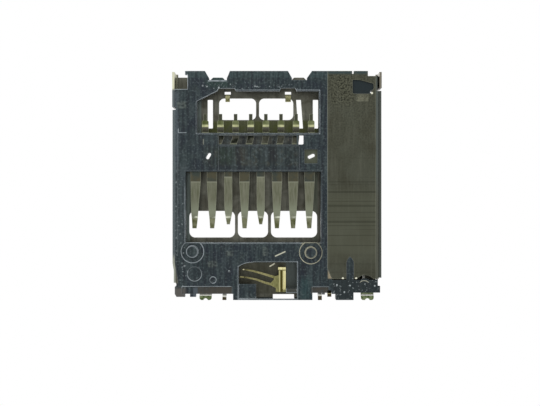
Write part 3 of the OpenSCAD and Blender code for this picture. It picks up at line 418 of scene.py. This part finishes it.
# pale and dark streaks of the flow, with pale and dark specks over them
for grain, low, high, share, color in ((streak, 0.48, 0.7, 0.6, tone(66, 77, 78)),
                                       (streak, 0.5, 0.34, 0.7, tone(8, 18, 27)),
                                       (speck, 0.54, 0.7, 0.4, tone(98, 108, 108)),
                                       (speck, 0.46, 0.3, 0.5, tone(10, 16, 20))):
    plastic.coat(plastic.both(plastic.span(grain, low, high, 0, share), along_flow), color)

# the recessed strips along the rear are brown-grey, and the wedge at the bay's corner is painted pale as a
# highlight of the plate's bevelled corner
strips = plastic.either(plastic.patch(-5.35, left_x + 4.03, rear_y - 0.9, rear_y),
                        plastic.patch(2.3, 3.45, 6.84, 7.3))
plastic.coat(plastic.both(strips, down, plastic.span(stain, 0.3, 0.55, 0.5, 0.95)), tone(64, 60, 52))
rear_corner = plastic.both(plastic.patch(left_x, left_x + 0.9, rear_y - 0.8, rear_y, 0.2), down)
plastic.coat(rear_corner, tone(92, 88, 82), 0.85)
beside_corner = plastic.patch(-5.65, -5.35, 6.9, rear_y, 0.1)
plastic.coat(beside_corner, tone(74, 82, 88))
corner_highlight = plastic.patch(3.44, 3.72, 5.62, 6.27)
plastic.coat(corner_highlight, tone(150, 138, 112))
blade_ledge = plastic.patch(blade_right, 1.35, 6.75, 7.2)
plastic.coat(blade_ledge, tone(58, 60, 54))
# painted shade: the housing seen through the plate's front hole is darkened as its recess would be
plate_hole_shade = plastic.patch(bay_x + 1.6, right_x - 0.45, -7.3, -6.1)
plastic.coat(plate_hole_shade, tone(10, 28, 32))
block_face = plastic.patch(3.75, right_x, 6.3, rear_y)
plastic.coat(block_face, tone(14, 26, 28), 0.7)

# painted highlights: pale lines at the windows and rings, fainter at the other edges and on the
# rear block, and nearly lost at the small steps that hardly show
win_left, win_right, win_front, win_rear = lower_window
other_edges = 0.2
zones = plastic.either(plastic.patch(*grown(upper_window, 0.1, 0.1, 0.1, 0.12)),
                       plastic.patch(win_left - 0.12, win_left + 0.3, 0.0, win_rear + 0.12),
                       plastic.patch(win_right - 0.12, win_right + 0.2, 0.0, win_rear + 0.12),
                       plastic.patch(win_left - 0.1, win_right + 0.1, win_rear - 0.2, win_rear + 0.12),
                       plastic.patch(*grown(switch_window, 0.1, 0.12, 0.1, 0)),
                       plastic.spot(*peg_left, ring_zone), plastic.spot(*peg_right, ring_zone),
                       plastic.patch(left_x, left_x + 1.1, front_y, -6.4),
                       plastic.patch(-6.5, -3.1, 6.7, 6.9))
lip_line = plastic.patch(2.3, 3.6, 6.75, 6.9)
hidden = plastic.either(plastic.patch(-2.52, -1.25, 6.3, 7.5),
                        plastic.patch(blade_right + 0.04, 1.3, 6.75, 7.2),
                        plastic.patch(-4.75, -3.95, 5.0, 5.6), plastic.patch(-3.55, -2.88, 4.0, 4.9),
                        plastic.spot(*large_ring, 0.6), plastic.spot(*small_ring, 0.3))
rear_block = plastic.patch(3.75, right_x, 6.1, rear_y)
strength = plastic.either(plastic.faint(lip_line, 0.55), zones, other_edges)
strength = plastic.both(strength, plastic.span(hidden, 0, 1, 1, 0.12),
                        plastic.span(rear_block, 0, 1, 1, 0.25),
                        plastic.span(plastic.z, peg_wall_z, peg_wall_z + 0.00002, 0.45, 1),
                        plastic.span(plastic.noise(0.0012, 2), 0.32, 0.55, 0.5, 1))
# painted highlights drawn as single strokes: a short line by the webs' slot, a slanted line near the
# switch, and the arc by the pin's boss
slot_highlight = plastic.faint(plastic.stroke(-4.96, -3.13, -4.96, -2.76, 0.06), 0.3)
boss_highlight = plastic.both(plastic.band(plastic.away(*pin_pivot), 0.34, 0.38, 0.03),
                          plastic.span(plastic.y, 0.00656, 0.00650))
slanted_highlight = plastic.stroke(-0.13, 4.77, 0.57, 4.45, 0.075)
drawn_highlights = plastic.both(down, plastic.either(slot_highlight, slanted_highlight, boss_highlight))

# painted highlight lines on the open faces: along the rings of the rear floor and pegs, and along the
# steps' edges
highlight_marks = plastic.either(plastic.both(plastic.band(plastic.away(*large_ring), 0.46, 0.50, 0.03),
                                    plastic.span(plastic.y, 0.00565, 0.00575, 0.3, 0.9)),
                       plastic.band(plastic.away(*small_ring), 0.19, 0.24, 0.03))
step_line = plastic.either(plastic.stroke(-6.65, -3.84, -6.65, -3.54, 0.06),
                           plastic.stroke(-6.65, -3.56, -6.1, -3.56, 0.05))
highlight_marks = plastic.either(highlight_marks, plastic.stroke(-4.65, -7.05, -3.37, -7.05, 0.06),
                       plastic.stroke(-6.80, -6.50, -6.03, -6.50, 0.07),
                       plastic.stroke(-6.03, -7.4, -6.03, -6.50, 0.06), plastic.faint(step_line, 0.6))
highlight_marks = plastic.both(highlight_marks, down, plastic.span(stain, 0.35, 0.55, 0.35, 1))
ring_highlights = plastic.either(*(plastic.band(plastic.away(*peg), 0.37, 0.40, 0.03)
                         for peg in (peg_left, peg_right)))
ring_highlights = plastic.both(ring_highlights, plastic.span(plastic.z, peg_wall_z, peg_wall_z - 0.00003),
                     plastic.span(stain, 0.35, 0.5, 0.5, 1))
highlight_marks = plastic.either(highlight_marks, ring_highlights)
# all the painted highlight lines: the edges' lines and the drawn ones
highlight_lines = plastic.either(plastic.both(plastic.edges(0.065, high=0.04), strength), highlight_marks)

# painted sparkle on the rear block and the borders, single painted glints, and yellower painted highlight
# lines at the right peg
sparkle_zones = plastic.either(rear_block, plastic.faint(plastic.patch(left_x, -6.1, -1, 7), 0.6),
                        plastic.patch(-5.4, 2, -6.9, -6.5))
painted_sparkle = plastic.both(down, plastic.span(speck, 0.64, 0.7), sparkle_zones)
glints = [plastic.spot(x, y, 0.05)
          for x, y in ((4.04, 6.70), (4.92, 6.74), (6.59, 6.76), (4.54, 7.18), (-6.24, 5.42), (-3.23, 5.76),
                       (-4.72, -6.68), (-3.92, -6.60), (-5.01, -6.73), (-1.48, -6.70))]
highlight_tint = plastic.mix(plastic.spot(*peg_right, ring_zone), tone(176, 184, 188), tone(202, 198, 170))
plastic.coat(highlight_lines, highlight_tint)
glints = plastic.both(down, plastic.either(*glints))
plastic.coat(plastic.either(plastic.faint(painted_sparkle, 0.7), glints), tone(176, 184, 184))
# lay the strokes' painted highlights
plastic.coat(drawn_highlights, tone(206, 204, 182))
plastic.color(plastic.face)
plastic.roughness(plastic.span(speck, 0.3, 0.7, 0.36, 0.56))
plastic.relief(speck, 0.004, 0.5)
plastic.on("housing")

# Cover: rolled stainless sheet, stamped and folded. Its outside is satin with fine scratches along
# the card's way. Its inside, which shows through the windows, is painted dull olive grey, darker
# than the outside: partly a duller face, partly painted shade under the housing.
roof_z = 0.0017
wall_t = 0.2
cover = Finish("cover_steel", tone(180, 180, 176), 0.34, 1.0)
cavity = cover.both(cover.band(cover.x, left_x + 0.25, right_x - 0.25),
                    cover.span(cover.z, roof_z - 0.00001, roof_z - 0.00002))
outside = cover.both(cover.span(cover.dot(cover.normal, cover.place), 0.0005, 0.0009),
                     cover.span(cavity, 0, 1, 1, 0))
rolled = cover.noise(0.0003, 4, stretch=(7, 0.16, 7))
drawn = cover.noise(0.00018, 3, stretch=(1, 0.06, 1))
inner = cover.noise(0.0009, 4, distortion=0.6)
bright = cover.steps(rolled, (0.3, tone(160, 160, 157)), (0.55, tone(182, 182, 178)),
                     (0.75, tone(198, 198, 194)))
# the inside's colour, darkened in part as painted shade
cover.face = cover.steps(inner, (0.32, tone(76, 75, 66)), (0.5, tone(92, 92, 83)),
                         (0.7, tone(108, 108, 98)))
cover.coat(cover.span(drawn, 0.52, 0.68, 0, 0.45), tone(58, 60, 56))
over_tails = cover.both(cover.patch(upper_window[0], upper_window[1], -4.5, -3.5, 0.2),
                        cover.span(inner, 0.35, 0.55, 0.5, 1))
cover.coat(over_tails, tone(76, 80, 52))

# beside the windows' walls the cover lies in their shade, so that it is painted paler there
window_sides = cover.either(cover.patch(win_left, win_left + 0.32, win_front, win_rear),
                            cover.patch(win_right - 0.3, win_right, win_front, win_rear))
cover.coat(window_sides, tone(84, 88, 78))
shaded = [cover.patch(left - 0.1, left + 0.17, front, rear)
          for left, _, front, rear in (lower_window, upper_window)]
cover.coat(cover.either(*shaded), tone(114, 124, 120))
left_of_blade = cover.patch(switch_window[0], blade_right, 5.2, 7.4)
cover.coat(left_of_blade, tone(60, 60, 48), 0.5)
right_of_blade = cover.patch(blade_right, 1.4, 5.2, 7.4)
cover.coat(right_of_blade, tone(78, 84, 82))
# painted highlight: pale lines along the sheet's edges
cover.coat(cover.edges(0.06), tone(128, 130, 120), 0.4)

# the stubs at the front windows with a painted highlight at their front ends, a bright scratch over
# the switch, the left wall with its pale ends, the right wall with its solder leg, and the left dome
# of the front edge
stub = cover.both(cover.patch(-4.0, 2.0, -6.5, -5.5),
                  cover.span(cover.z, roof_z - 0.000005, roof_z - 0.00001))
stub_face = cover.mix(cover.span(cover.y, -0.0061, -0.0058), tone(186, 184, 140), tone(132, 130, 84))
cover.coat(stub, stub_face)
scratch = cover.stroke(-0.50, 5.55, -0.14, 5.34, 0.08)
cover.coat(scratch, tone(212, 210, 188))
front_end = cover.steps(rolled, (0.3, tone(170, 170, 148)), (0.7, tone(208, 208, 182)))
wall = cover.mix(cover.span(cover.y, -0.00655, -0.0064), front_end, tone(92, 100, 102))
wall = cover.mix(cover.span(cover.y, 0.0046, 0.0050), wall, tone(148, 152, 140))
left_inside = (left_x + wall_t) / 1000
right_inside = (right_x - wall_t) / 1000
cover.coat(cover.span(cover.x, left_inside - 0.00002, left_inside + 0.00002, 1, 0), wall)
cover.coat(cover.span(cover.x, right_inside - 0.00002, right_inside + 0.00002), tone(76, 80, 75))
right_leg = cover.patch(right_x - 0.5, right_x, -7.8, -6.4)
cover.coat(right_leg, tone(118, 114, 102))
left_dome = cover.patch(-4.7, -3.3, -7.5, -6.8)
cover.coat(left_dome, tone(66, 80, 78))
cover.color(cover.mix(outside, cover.face, bright))
cover.roughness(cover.span(rolled, 0.3, 0.7, 0.28, 0.46))
cover.relief(rolled, 0.003, 0.35)
cover.on("shell")

# Metal floor of the slider bay: the same sheet, olive brown, with scuff lines across it where
# the press tool dragged, and a mottled patch at its front.
bay = Finish("bay_steel", tone(72, 74, 63), 0.42, 1.0)
mottle = bay.noise(0.00011, 3)
drag = bay.noise(0.0011, 5, stretch=(0.05, 8.0, 1))
fine = bay.noise(0.00018, 3, stretch=(1, 0.08, 1))
cast = bay.noise(0.002, 3, distortion=0.5)
bay.face = bay.steps(cast, (0.35, tone(63, 63, 53)), (0.65, tone(75, 77, 67)))
speckled = bay.steps(mottle, (0.35, tone(30, 32, 26)), (0.65, tone(96, 97, 82)))
front_patch = bay.patch(bay_x + 0.1, bay_x + 1.9, front_y, front_y + 2.4, 0.8)
all_over = bay.span(bay.y, -0.0012, -0.0072, 0.12, 0.4)
bay.coat(bay.either(bay.faint(front_patch, 0.85), all_over), speckled)
coined = bay.both(bay.patch(5.40, 6.15, -6.12, -5.68), bay.span(mottle, 0.4, 0.6, 0.3, 1))
bay.coat(coined, tone(112, 112, 96))
front_band = bay.span(bay.y, (front_y + 0.28) / 1000, (front_y + 0.12) / 1000)
bay.coat(front_band, tone(58, 70, 70))
bay.coat(bay.span(fine, 0.5, 0.7, 0, 0.35), tone(92, 93, 82))
rear_half = bay.band(bay.y, 0.4, 4.9, 1.0)
bay.coat(rear_half, tone(84, 86, 73), 0.6)
dragged = bay.both(bay.span(drag, 0.56, 0.7, 0, 0.45), bay.span(bay.y, -0.003, 0.0005))
bay.coat(dragged, tone(46, 47, 38))
half_scuff = 0.03
scuffs = [bay.band(bay.y, y - half_scuff, y + half_scuff) for y in (0.44, 1.38, 2.46)]
light_scuffs = [bay.band(bay.y, y - half_scuff, y + half_scuff) for y in (-0.24, 1.82, 2.70, 4.04)]
scuffed = bay.either(bay.faint(bay.either(*scuffs), 0.75), bay.faint(bay.either(*light_scuffs), 0.35))
bay.coat(scuffed, tone(42, 44, 36))

# the upturned outer flange, painted bluer grey as a reflection; pale lines at the fold and edges, painted
# highlights; and three painted glints
fold = bay.band(bay.x, right_x - 0.44, right_x - 0.39)
turned_up = bay.span(bay.x, (right_x - 0.40) / 1000, (right_x - 0.38) / 1000)
flange_reflection = bay.mix(bay.span(bay.y, -0.001, 0.001), tone(85, 91, 87), tone(84, 86, 77))
bay.coat(turned_up, flange_reflection)
left_line = bay.band(bay.x, bay_x, bay_x + 0.05)
pale_highlights = bay.either(bay.faint(fold, 0.25), bay.faint(left_line, 0.2), bay.faint(bay.edges(0.05), 0.6))
bay.coat(bay.both(pale_highlights, bay.span(cast, 0.3, 0.6, 0.4, 1)), tone(140, 142, 126))
bay_glints = [bay.spot(x, y, 0.07) for x, y in ((4.44, plate_y - 0.04), (5.34, plate_y - 0.04), (6.40, -6.23))]
bay.coat(bay.either(*bay_glints), tone(226, 226, 206))
bay.color(bay.face)
bay.roughness(bay.span(mottle, 0.3, 0.7, 0.36, 0.55))
bay.relief(drag, 0.003, 0.5)
bay.on("bay_plate")

# Contacts: stamped spring alloy with a pale grey-green plating. The root of each beam is painted
# darker as shade, the tip behind its crest is darker olive, partly plating and partly painted
# shade, and the bend of each tail carries a painted highlight.
contact_names = [name for name in nodes if name.startswith("contact_")]
tail_y = min(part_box(name)[0][1] for name in contact_names) * 1000
tip_y = max(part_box(name)[1][1] for name in contact_names) * 1000
root_start = -2.8


def plated(name, root_end):
    """Plating whose dark root stops at root_end, in millimetres."""
    plating = Finish(name, tone(108, 110, 93), 0.4, 1.0)
    grain = plating.noise(0.0004, 4, stretch=(4, 0.5, 1))
    blotch = plating.noise(0.0005, 3)
    plating.face = plating.steps(grain, (0.3, tone(94, 97, 78)), (0.7, tone(121, 122, 106)))

    # the root, painted darker as shade, paler in front of the lower window, where the mid bar's
    # right-hand hole shows it, with a painted highlight line where it ends
    root_shade = plating.steps(blotch, (0.38, tone(61, 67, 62)), (0.62, tone(76, 74, 60)))
    root_shade = plating.mix(plating.span(plating.y, -0.0014, -0.0012, 1, 0), root_shade, tone(80, 84, 72))
    plating.coat(plating.band(plating.y, root_start, root_end), root_shade)
    plating.coat(plating.band(plating.y, root_end - 0.03, root_end + 0.03), tone(128, 130, 114))

    # the tip, with a painted highlight on its crest, and olive beyond it, partly plating and partly painted
    # shade where it curls away
    tip = plating.steps(blotch, (0.35, tone(74, 78, 44)), (0.65, tone(126, 128, 104)))
    plating.coat(plating.band(plating.y, tip_y - 1.6, tip_y - 0.7, 0.7), tone(128, 133, 114))
    plating.coat(plating.span(plating.y, (tip_y - 0.70) / 1000, (tip_y - 0.6) / 1000), tip)
    crest_highlight = plating.both(plating.band(plating.y, tip_y - 0.82, tip_y - 0.70),
                         plating.span(blotch, 0.42, 0.58))
    plating.coat(crest_highlight, tone(206, 210, 190))

    # the dark web that the slot lays open, and the tail with its sole, a painted highlight on its slope,
    # and its bend
    web = plating.steps(blotch, (0.4, tone(30, 32, 26)), (0.6, tone(76, 76, 66)))
    plating.coat(plating.band(plating.y, tail_y + 1.3, tail_y + 1.95), web)
    tail = plating.steps(blotch, (0.35, tone(70, 78, 44)), (0.65, tone(110, 116, 84)))
    sole = plating.span(plating.y, (tail_y + 0.42) / 1000, (tail_y + 0.46) / 1000, 1, 0)
    tail = plating.mix(sole, tail, tone(66, 68, 56))
    tail_highlight = plating.both(plating.band(plating.y, tail_y + 0.73, tail_y + 0.88, 0.08),
                        plating.span(blotch, 0.35, 0.6, 0.3, 1))
    tail = plating.mix(tail_highlight, tail, tone(188, 190, 146))
    bend = plating.band(plating.y, tail_y + 0.89, tail_y + 1.2)
    tail = plating.mix(bend, tail, tone(84, 82, 68))
    plating.coat(plating.span(plating.y, (tail_y + 1.2) / 1000, (tail_y + 1.24) / 1000, 1, 0), tail)
    # painted highlight: pale lines along the edges
    plating.coat(plating.edges(0.045), tone(160, 162, 144), 0.55)
    plating.color(plating.face)
    plating.metal(plating.span(bend, 0, 1, 1, 0))
    plating.roughness(plating.span(grain, 0.3, 0.7, 0.32, 0.48))
    plating.relief(grain, 0.002, 0.5)
    return plating


plated("contact_plating", -0.24).on(*contact_names)
plated("plain_contact_plating", -0.57).on("contact_3", "contact_5")

# Switch springs: gold-flashed alloy, dull olive on the arms, with a dark lane of painted shade beside
# the blade and a pale lane of painted highlight next to it.
# The blade stands up behind the root on its own tail, and its bright colour is a painted highlight.
tail_brown = tone(66, 60, 44)
# painted highlight: the slopes of the tails and feet are painted near white, non-metal
slope_highlight = tone(246, 244, 232)
blade_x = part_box("ground_terminal")[0][0] * 1000 + 0.31


def tail_masks(finish):
    """The tails behind the moulding, and the slopes by which they and the feet come down."""
    slopes = finish.span(finish.math("ABSOLUTE", finish.nz), 0.9, 0.97, 1, 0)
    behind = finish.span(finish.y, 0.00726, 0.0073)
    return behind, finish.both(slopes, behind)


gold = Finish("switch_gold", tone(118, 117, 80), 0.36, 1.0)
gold_grain = gold.noise(0.0003, 4, stretch=(3, 1, 1))
gold.face = gold.steps(gold_grain, (0.3, tone(98, 98, 58)), (0.7, tone(136, 134, 92)))
gold_arm = gold.steps(gold_grain, (0.3, tone(106, 103, 66)), (0.7, tone(150, 144, 106)))
gold.coat(gold.span(gold.x, -0.0006, -0.0004, 1, 0), gold_arm)
worn_dot = gold.spot(-2.27, 5.74, 0.09)
gold.coat(worn_dot, tone(196, 190, 160))
lane_highlight = gold.band(gold.x, blade_x - 0.25, blade_x - 0.17)
gold.coat(lane_highlight, tone(176, 172, 124))
lane_shade = gold.band(gold.x, blade_x - 0.16, blade_x)
gold.coat(lane_shade, tone(70, 64, 28))
# painted highlight: pale lines along the edges
gold.coat(gold.edges(0.04), tone(170, 164, 116), 0.35)
tails, slopes = tail_masks(gold)
gold.coat(tails, tail_brown)
gold.coat(slopes, slope_highlight)
gold.color(gold.face)
gold.metal(gold.span(slopes, 0, 1, 1, 0))
gold.roughness(gold.span(gold_grain, 0.3, 0.7, 0.3, 0.45))
gold.relief(gold_grain, 0.002, 0.4)
gold.on("detect_lever", "detect_terminal")

blade = Finish("blade_gold", tone(226, 220, 168), 0.3, 1.0)
blade_grain = blade.noise(0.0003, 3, stretch=(4, 0.5, 1))
blade.face = blade.steps(blade_grain, (0.3, tone(196, 188, 128)), (0.7, tone(234, 228, 180)))
blade_notch = blade.band(blade.y, 5.69, 5.76)
blade.coat(blade_notch, tone(96, 86, 40))
tails, slopes = tail_masks(blade)
blade.coat(tails, tail_brown)
blade.coat(slopes, slope_highlight)
blade.color(blade.face)
blade.metal(blade.span(slopes, 0, 1, 1, 0))
blade.roughness(blade.span(blade_grain, 0.3, 0.7, 0.24, 0.38))
blade.relief(blade_grain, 0.002, 0.4)
blade.on("ground_terminal")

# Rear solder feet: tinned alloy, green-gold where the flux stained it, and painted near white at the
# bend as a highlight. They sit in the rear corners of the moulding and come down to the board.
feet = Finish("foot_tin", tone(110, 117, 89), 0.4, 1.0)
flux = feet.noise(0.00025, 3)
foot_face = feet.steps(flux, (0.38, tone(52, 70, 34)), (0.62, tone(114, 124, 92)))
flat = feet.span(feet.math("ABSOLUTE", feet.nz), 0.9, 0.97)
feet.color(feet.mix(flat, slope_highlight, foot_face))
feet.metal(flat)
feet.roughness(feet.span(flux, 0.3, 0.7, 0.3, 0.5))
feet.on("hold_down_left", "hold_down_right")

# Slider: a second moulding of the same polymer, a shade greyer, that the card pushes. It runs in
# the bay, with the cam groove on its top and the coil spring in its pocket.
slider = Finish("slider_black", tone(48, 52, 56), 0.5, specular=0.3)
slide_flow = slider.noise(0.0012, 4, distortion=1.0)
slide_speck = slider.noise(0.00014, 2)
slider.face = slider.steps(slide_flow, (0.35, tone(40, 44, 48)), (0.65, tone(62, 65, 68)))
slider.coat(slider.span(slide_speck, 0.54, 0.7, 0, 0.3), tone(92, 96, 98))
slider.coat(slider.span(slide_speck, 0.46, 0.3, 0, 0.4), tone(22, 25, 28))
# painted highlight: pale lines along the edges
slider.coat(slider.edges(0.06), tone(128, 132, 134), 0.6)
slider.color(slider.face)
slider.roughness(slider.span(slide_speck, 0.3, 0.7, 0.4, 0.58))
slider.relief(slide_speck, 0.004, 0.5)
slider.on("slider")

# Cam pin and card-lock leaf: drawn stainless wire, bent down at both ends between the rear block
# and the groove, and a strip of spring bronze that the slider carries.
wire = Finish("wire_steel", tone(168, 168, 162), 0.28, 1.0)
draw_marks = wire.noise(0.0002, 3, stretch=(5, 0.4, 5))
wire.color(wire.steps(draw_marks, (0.3, tone(140, 140, 134)), (0.7, tone(190, 190, 184))))
wire.roughness(wire.span(draw_marks, 0.3, 0.7, 0.2, 0.36))
wire.on("cam_pin")
bronze = Finish("leaf_bronze", tone(176, 160, 112), 0.34, 1.0)
bronze_grain = bronze.noise(0.0003, 4, stretch=(1, 0.4, 4))
bronze.color(bronze.steps(bronze_grain, (0.3, tone(150, 134, 88)), (0.7, tone(196, 182, 134))))
bronze.roughness(bronze.span(bronze_grain, 0.3, 0.7, 0.28, 0.42))
bronze.relief(bronze_grain, 0.002, 0.4)
bronze.on("lock_leaf")

# Coil spring: round wire wound into closed ends, in place of the source's six-sided one, which is
# hidden. It is attached to the socket's body.
spring_low, spring_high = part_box("slider_spring")
wire_d = 0.13 / 1000
turns = 19
steps_in_turn = 40
end_closing = 36
coil_r = (spring_high[0] - spring_low[0] - wire_d) / 2
coil_start = spring_low[1] + wire_d / 2
coil_end = spring_high[1] - wire_d / 2
coil_data = bpy.data.curves.new("coil", "CURVE")
coil_data.dimensions = "3D"
coil_data.bevel_depth = wire_d / 2
coil_data.bevel_resolution = 3
coil_data.use_fill_caps = True
path = coil_data.splines.new("POLY")
path.points.add(turns * steps_in_turn)
for n, point in enumerate(path.points):
    share = n / (turns * steps_in_turn)
    angle = 2 * math.pi * turns * share
    along = coil_start + (coil_end - coil_start) * (share - math.sin(2 * math.pi * share) / end_closing)
    point.co = ((spring_low[0] + spring_high[0]) / 2 + coil_r * math.cos(angle), along,
                (spring_low[2] + spring_high[2]) / 2 + coil_r * math.sin(angle), 1)
coil_curve = bpy.data.objects.new("coil_curve", coil_data)
coil_mesh = bpy.data.meshes.new_from_object(coil_curve)
bpy.data.objects.remove(coil_curve)
coil_mesh.polygons.foreach_set("use_smooth", [True] * len(coil_mesh.polygons))
coil_mesh.materials.clear()
coil_mesh.materials.append(wire.material)
coil = bpy.data.objects.new("coil_spring", coil_mesh)
bpy.context.collection.objects.link(coil)
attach(coil, "socket")
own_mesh(coil)
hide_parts("slider_spring")
